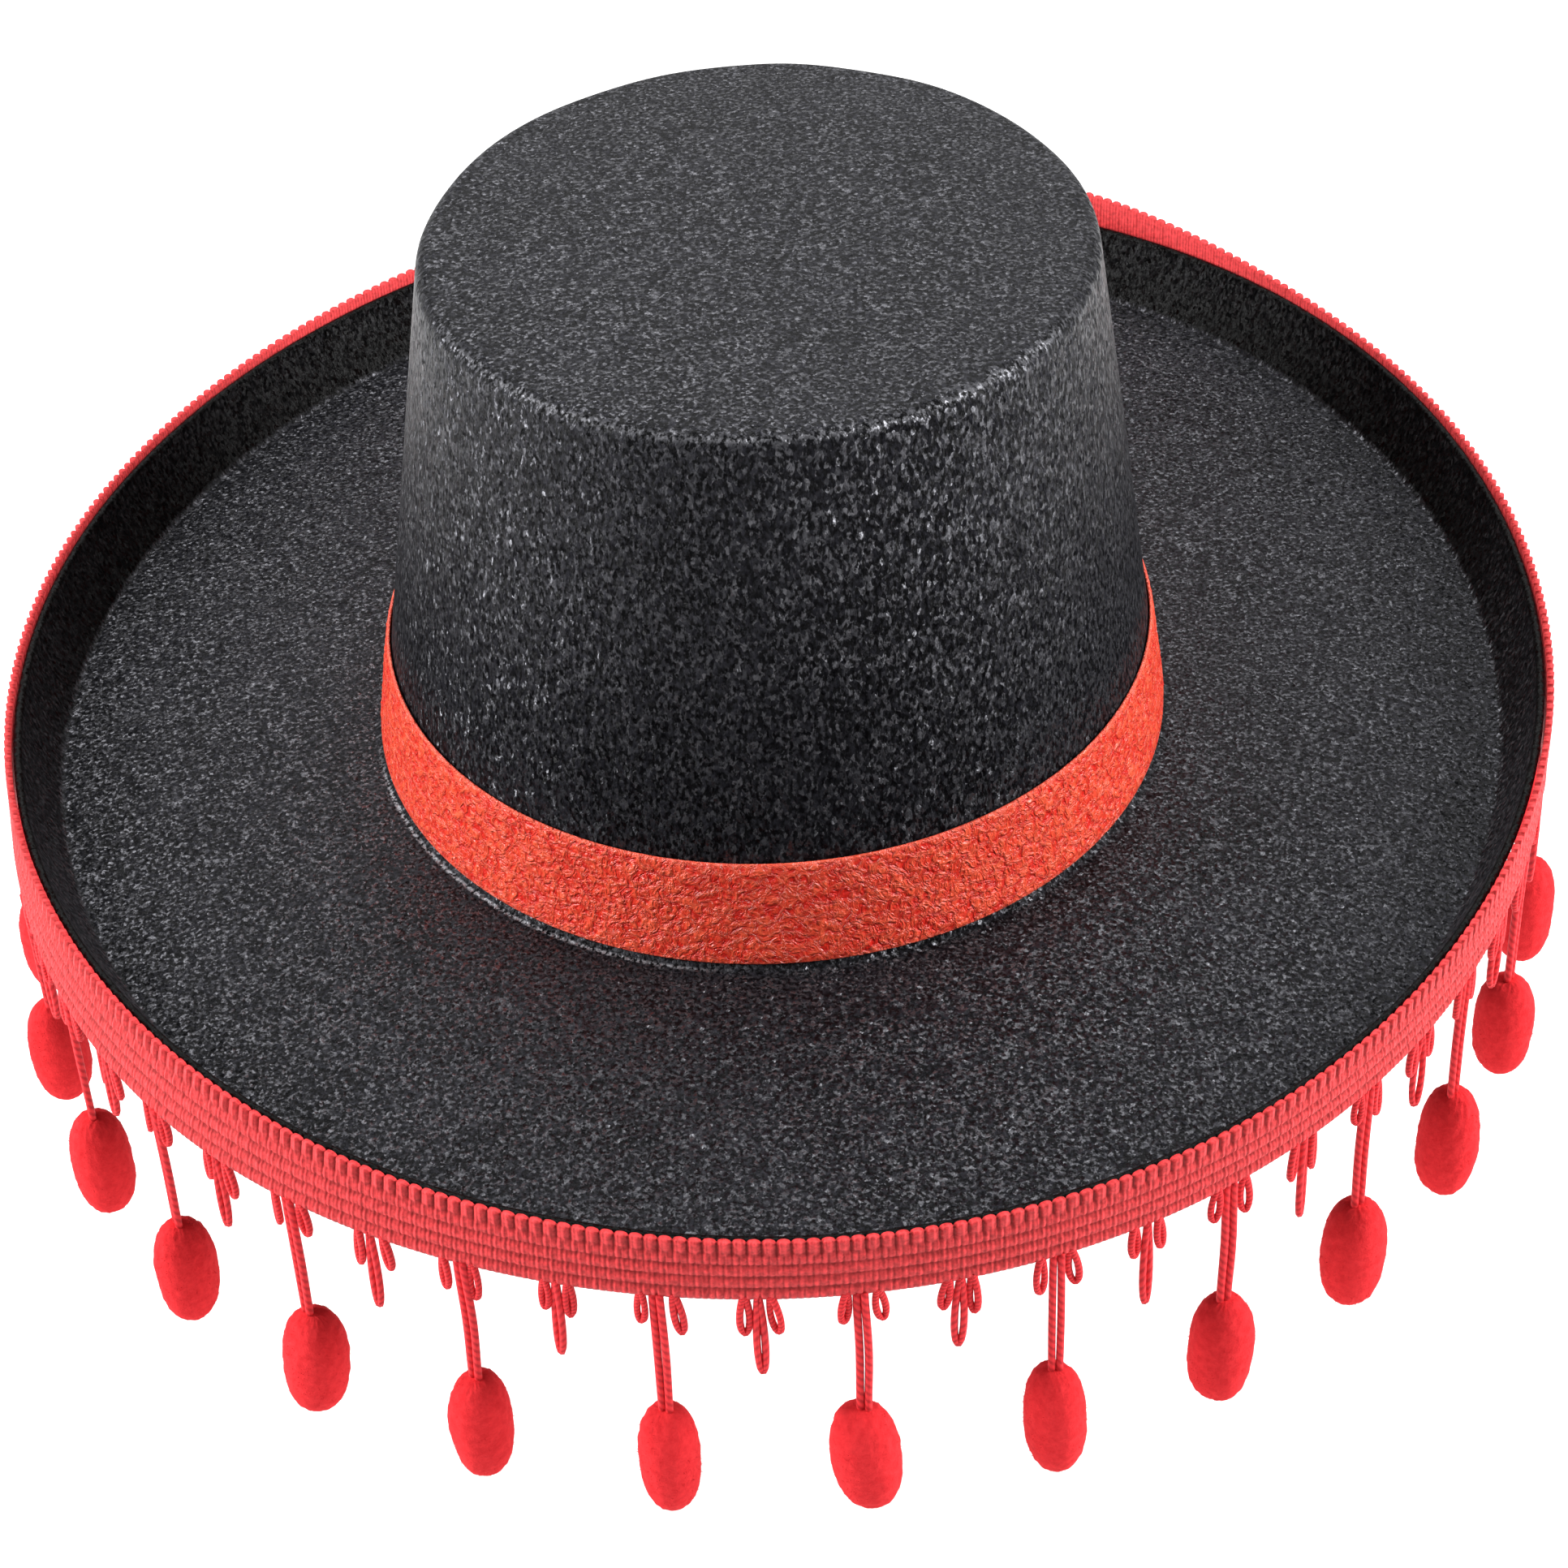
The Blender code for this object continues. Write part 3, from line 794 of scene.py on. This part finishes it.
def hanging_loops(places, lengths, widths, turns, splays, points=22, sides=6):
    """Loops of cord that hang from the braid and come back.

    Each starts and ends at one place, lies half a width to each side in between, is lowest in the
    middle, and is turned about the vertical.  Its splay sets its lowest point off along the brim.
    """
    t = np.linspace(0, 2 * pi, points)
    half = np.sin(t) * np.sin(t / 2) ** 0.8
    drop = (1 - np.cos(t)) / 2
    along = np.cos(turns)[:, None] * places[:, 1] + np.sin(turns)[:, None] * places[:, 2]
    out = -np.sin(turns)[:, None] * places[:, 1] + np.cos(turns)[:, None] * places[:, 2]
    path = places[:, 0][:, None] + along[:, None] * (half[None] * widths[:, None] / 2)[..., None]
    path = path + places[:, 1][:, None] * (drop[None] * splays[:, None])[..., None]
    path[..., 2] -= drop[None] * lengths[:, None]
    tangent = np.gradient(path, axis=1)
    tangent /= np.linalg.norm(tangent, axis=2, keepdims=True)
    out = np.broadcast_to(out[:, None], path.shape)
    across = np.cross(tangent, out)
    across /= np.linalg.norm(across, axis=2, keepdims=True)
    return tube_rings(path, across, out, LOOP_CORD / 2, sides), path


def braid_places(angle):
    """Points just inside the braid's lower edge, with the directions along and out, (n, 3, 3)."""
    foot = rim_points(angle, BRAID_MIDDLE + braid_flare(angle) * 0.93,
                      braid_top(angle) - BRAID_HEIGHT + 0.0012)
    along = np.stack((-(RIM_HALF[0] + BRAID_MIDDLE) * np.sin(angle),
                      (RIM_HALF[1] + BRAID_MIDDLE) * np.cos(angle), 0 * angle), -1)
    along /= np.linalg.norm(along, axis=1, keepdims=True)
    out = np.cross(along, (0, 0, 1))
    return np.stack((foot, along, out), 1)


def make_loops(finish, joints):
    """Short loops on both sides of each pompom's cord, and three loops between two pompoms.

    Each loop has its own small chance in its place, length, width, turn and splay.
    """
    rng = np.random.default_rng(21)
    cords = np.array([pivot for pivot, _, _ in joints])
    at = np.arctan2((cords[:, 1] - RIM_CENTRE[1]) / RIM_HALF[1],
                    (cords[:, 0] - RIM_CENTRE[0]) / RIM_HALF[0])
    between = np.unwrap(np.append(at, at[0]))
    between = (between[:-1] + between[1:]) / 2
    radius = sum(RIM_HALF) / 2
    groups = []
    for centres, side, length, step in ((at, -1, LOOP_SHORT, LOOP_TO_CORD),
                                        (at, 1, LOOP_SHORT, LOOP_TO_CORD),
                                        (between, -1, LOOP_SHORT, LOOP_TO_LOOP),
                                        (between, 0, LOOP_LONG, LOOP_TO_LOOP),
                                        (between, 1, LOOP_SHORT, LOOP_TO_LOOP)):
        count = len(centres)
        shift = side * step * rng.uniform(0.85, 1.15, count)
        places = braid_places(centres + shift / radius)
        groups.append((places, length * rng.uniform(0.82, 1.15, count),
                       LOOP_WIDTH * rng.uniform(0.85, 1.25, count), rng.uniform(-0.5, 0.5, count),
                       side * 0.0006 + rng.uniform(-0.0008, 0.0008, count)))
    gathered = [np.concatenate([g[k] for g in groups]) for k in range(5)]
    rings, path = hanging_loops(*gathered)
    mesh = mesh_of("braid_loops", rings, start=path[:, 0], end=path[:, -1])
    piece("braid_loops", mesh, finish, "hat", "gimp_braid")


# ---- pompoms ----
def make_cord(number, joint, finish):
    """Two strands from the braid down into the pompom: together at both ends, apart between."""
    pivot, along, out = (np.array(v) for v in joint)
    rng = np.random.default_rng(100 + number)
    t = np.linspace(0, 1, 26)
    apart = 0.00078 + 0.00018 * np.sin(pi * t) ** 0.8
    bend = rng.uniform(-0.0005, 0.0005) * np.sin(pi * t) ** 2
    start = CORD_PIVOT_DROP + CORD_IN_BRAID
    length = CORD_IN_BRAID + CORD_LENGTH + CORD_IN_BALL
    paths = []
    for side in (-1, 1):
        path = pivot + along * (side * apart + bend)[:, None] + out * (0.0002 * side)
        path[:, 2] += start - t * length
        paths.append(path)
    path = np.stack(paths)
    rings = tube_rings(path, np.broadcast_to(along, path.shape), np.broadcast_to(out, path.shape),
                       STRAND / 2, 8)
    name = f"pompom_cord_{number:02d}"
    mesh = mesh_of(name, rings, start=path[:, 0], end=path[:, -1])
    piece(name, mesh, finish, f"pendant_{number:02d}", "yarn", f"pompom_{number:02d}")


def squarish(height):
    """Radius of a ball with full shoulders, in a direction of that height, from -1 to 1.

    The powers 2.5 of the point's height and of its width add up to 1.
    """
    height = np.abs(height)
    return (np.sqrt(1 - height ** 2) ** 2.5 + height ** 2.5) ** (-1 / 2.5)


def ball_rings(rng, rows, cols):
    """A squarish ball with soft lumps: directions (rows, cols, 3) and radii."""
    theta = np.linspace(0, pi, rows + 2)[1:-1][:, None]
    phi = round_angles(cols)[None]
    way = np.stack(np.broadcast_arrays(np.sin(theta) * np.cos(phi), np.sin(theta) * np.sin(phi),
                                       np.cos(theta)), -1)
    lumps = np.zeros(way.shape[:2])
    for _ in range(26):
        centre = rng.standard_normal(3)
        centre /= np.linalg.norm(centre)
        lumps += rng.uniform(-1, 1) * np.exp(-np.sum((way - centre) ** 2, -1) / 0.12)
    tufts = smooth_noise(rows, cols, 9, 24, int(rng.integers(1 << 30)))
    fade = np.sin(theta) ** 0.7
    return way, squarish(np.cos(theta)) * (1 + 0.030 * lumps + 0.018 * tufts * fade)


def loose_ends(rng, half, base):
    """Short ends of yarn all over an oval ball: thin three-sided spikes that lean their own ways.

    Gives their roots, their tips, and the rings round their roots, from the ball's middle.
    """
    ends = rng.standard_normal((FUZZ_ENDS, 3))
    ends /= np.linalg.norm(ends, axis=1, keepdims=True)
    ends = ends[ends[:, 2] < 0.93]
    root = (ends * squarish(ends[:, 2:]) * half * 0.985) @ base
    lean = (ends + rng.standard_normal(ends.shape) * 0.35) @ base
    tip = root + lean * rng.uniform(0.0003, 0.0007, len(ends))[:, None]
    sideways = np.cross(lean, rng.standard_normal(ends.shape))
    sideways /= np.linalg.norm(sideways, axis=1, keepdims=True)
    third = np.cross(sideways, lean)
    third /= np.linalg.norm(third, axis=1, keepdims=True)
    return root, tip, tube_rings(root[:, None], sideways[:, None], third[:, None], FUZZ_RADIUS, 3)


def make_ball(number, joint, finish):
    """The pompom: an oval lumpy ball of cut yarn, with short loose ends all over."""
    rng = np.random.default_rng(500 + number)
    pivot, along, out = (np.array(v) for v in joint)
    half = np.array((POMPOM_HALF_WIDTH * rng.uniform(0.84, 1.04), POMPOM_HALF_WIDTH * 0.96,
                     POMPOM_HALF_HEIGHT * rng.uniform(0.93, 0.98)))
    middle = pivot + (0, 0, CORD_PIVOT_DROP - CORD_LENGTH - POMPOM_HALF_HEIGHT)
    tilt = rng.uniform(-0.10, 0.10)
    side = along * cos(tilt) + np.array((0, 0, sin(tilt)))
    up = np.cross(side, out)
    up = up * np.sign(up[2])
    base = np.stack((side, out, up))
    way, radius = ball_rings(rng, 44, 64)
    rings = middle + (way * radius[..., None] * half) @ base
    crest = middle + half[2] * radius[0].mean() * up
    foot = middle - half[2] * radius[-1].mean() * up
    root, tip, feet = loose_ends(rng, half, base)
    body, node = f"pendant_{number:02d}", f"pompom_{number:02d}"
    ball = mesh_of(f"ball_{number}", rings[None], start=[crest], end=[foot])
    piece(f"pompom_ball_{number:02d}", ball, finish, body, "yarn", node)
    fuzz = mesh_of(f"fuzz_{number}", middle + feet, start=middle + root, end=middle + tip)
    piece(f"pompom_fuzz_{number:02d}", fuzz, finish, body, "yarn")


# ---- camera, light and floor ----
CAMERA_DISTANCE = 0.87139
CAMERA_ELEVATION = radians(37.725)
CAMERA_ROLL = radians(-2.905)
CAMERA_TARGET_HEIGHT = -0.01624
LENS_WIDTHS = 2.1383           # focal length in widths of the frame
CAMERA_SHIFT = (0.0065, -0.0273)
SENSOR = 36.0
WORLD_DIM = 0.11               # the tent's light low in front, and high behind
WORLD_BRIGHT = 0.78
SIDE_LIGHT = (1.26, -0.24, 0.55)
FLOOR_HALF = 6.0
FLOOR_HEIGHT = -0.30


def make_camera():
    data = bpy.data.cameras.new("camera")
    data.sensor_width = SENSOR
    data.lens = LENS_WIDTHS * SENSOR
    data.shift_x, data.shift_y = CAMERA_SHIFT
    data.clip_start = 0.05
    back = Vector((0, -cos(CAMERA_ELEVATION), sin(CAMERA_ELEVATION)))
    across, up = Vector((1, 0, 0)), Vector((0, sin(CAMERA_ELEVATION), cos(CAMERA_ELEVATION)))
    right = across * cos(CAMERA_ROLL) + up * sin(CAMERA_ROLL)
    upward = up * cos(CAMERA_ROLL) - across * sin(CAMERA_ROLL)
    where = Vector((0, 0, CAMERA_TARGET_HEIGHT)) + back * CAMERA_DISTANCE
    camera = bpy.data.objects.new("camera", data)
    turned = Matrix((right, upward, back)).transposed().to_4x4()
    camera.matrix_world = Matrix.Translation(where) @ turned
    bpy.context.scene.collection.objects.link(camera)
    bpy.context.scene.camera = camera


def make_light(name, place, aim, size, power):
    data = bpy.data.lights.new(name, "AREA")
    data.shape = "RECTANGLE"
    data.size, data.size_y = size
    data.energy = power
    light = bpy.data.objects.new(name, data)
    light.location = place
    light.rotation_euler = (Vector(aim) - Vector(place)).to_track_quat("-Z", "Y").to_euler()
    bpy.context.scene.collection.objects.link(light)


def make_studio():
    """A white tent with three soft lights in it, on a pale floor.

    The tent shines from above and behind, and hardly from the front: its light grows with
    0.7 z + 0.5 y, which reaches 0.86 at most.  To the camera it looks plain white from every side.
    """
    world = bpy.data.worlds.new("studio")
    world.use_nodes = True
    tree = world.node_tree
    way = add(tree, "ShaderNodeTexCoord").outputs["Generated"]
    split = add(tree, "ShaderNodeSeparateXYZ", Vector=way)
    high = maths(tree, "MULTIPLY", split.outputs[2], 0.7)
    behind = maths(tree, "MULTIPLY", split.outputs[1], 0.5)
    fade = add(tree, "ShaderNodeMapRange")
    levels = (maths(tree, "ADD", high, behind), -0.5, 0.86, WORLD_DIM, WORLD_BRIGHT)
    for socket, value in zip(fade.inputs, levels):
        feed(tree, socket, value)
    seen = add(tree, "ShaderNodeLightPath").outputs["Is Camera Ray"]
    background = tree.nodes["Background"]
    feed(tree, background.inputs["Color"], (1.0, 1.0, 1.0))
    feed(tree, background.inputs["Strength"], maths(tree, "MAXIMUM", fade.outputs[0], seen))
    bpy.context.scene.world = world
    make_light("overhead", (0.0, 0.75, 1.35), (0, 0.1, 0), (1.8, 1.0), 22.0)
    for name, side in (("left side", -1), ("right side", 1)):
        place = (side * SIDE_LIGHT[0], SIDE_LIGHT[1], SIDE_LIGHT[2])
        make_light(name, place, (0, 0, 0.03), (0.6, 0.9), 24.0)
    make_floor()
    bpy.context.scene.view_settings.view_transform = "Standard"


def make_floor():
    """A pale square below the hat, which is clear when it is looked through from below."""
    corners = [(x * FLOOR_HALF, y * FLOOR_HALF, FLOOR_HEIGHT)
               for x, y in ((-1, -1), (1, -1), (1, 1), (-1, 1))]
    mesh = bpy.data.meshes.new("floor")
    mesh.from_pydata(corners, [], [(0, 1, 2, 3)])
    floor = bpy.data.objects.new("floor", mesh)
    bpy.context.scene.collection.objects.link(floor)
    finish, tree, shader = new_material("pale floor, clear from below")
    feed(tree, shader.inputs["Base Color"], (0.93, 0.93, 0.93))
    shader.inputs["Roughness"].default_value = 0.9
    below = add(tree, "ShaderNodeNewGeometry").outputs["Backfacing"]
    feed(tree, shader.inputs["Alpha"], maths(tree, "SUBTRACT", 1.0, below))
    mesh.materials.append(finish)


def main():
    make_camera()
    make_studio()
    twist = make_yarn_group()
    make_felt(felt_material(make_pressed_felt_group()))
    make_ribbon(ribbon_material())
    make_sweatband(tape_material(), thread_material())
    make_braid(braid_material())
    joints = pivots()
    make_loops(cord_material("red loop cord", twist, 26.0), joints)
    strand = cord_material("red pompom cord", twist, 16.0)
    yarn = pompom_material()
    for number, joint in enumerate(joints, 1):
        make_cord(number, joint, strand)
        make_ball(number, joint, yarn)


main()
